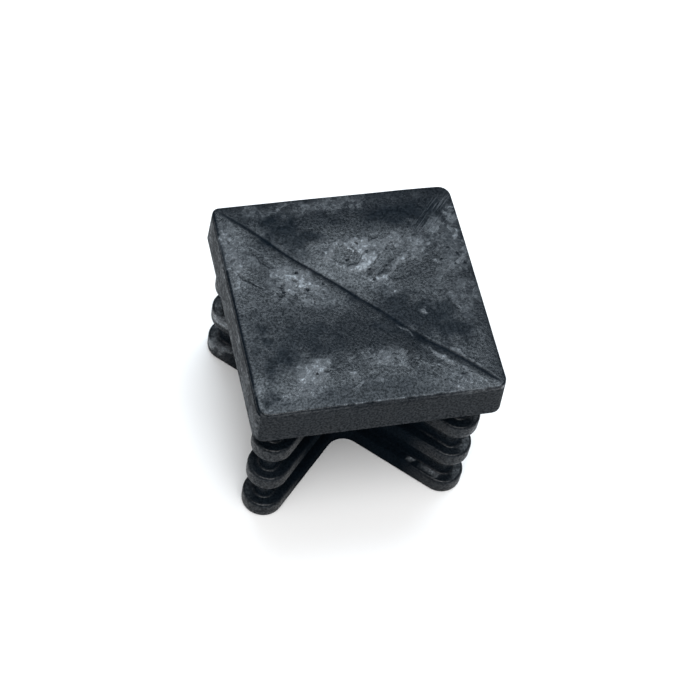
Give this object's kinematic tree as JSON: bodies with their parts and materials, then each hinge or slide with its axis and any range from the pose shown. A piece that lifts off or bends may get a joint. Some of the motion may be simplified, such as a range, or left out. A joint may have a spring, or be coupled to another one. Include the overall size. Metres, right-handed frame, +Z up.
{
  "type": "square tube insert",
  "caption": "Black moulded plug for the open end of a square tube: a square head with a creased top on an X-shaped stem with fins that grip the tube's inside.",
  "frame": {"origin": "middle of the stem's foot, the face of the lowest fin", "axes": "+Z up the stem and out through the head's top; X and Y square to the head's sides, so the arms of the stem lie on the diagonals"},
  "size_m": [0.0254, 0.0254, 0.0216],
  "materials": {
    "black_polyethylene": "moulded, half matt, scuffed and dusty on top"
  },
  "bodies": {
    "root": {"square_tube_insert": "black_polyethylene"}
  },
  "joints": []
}
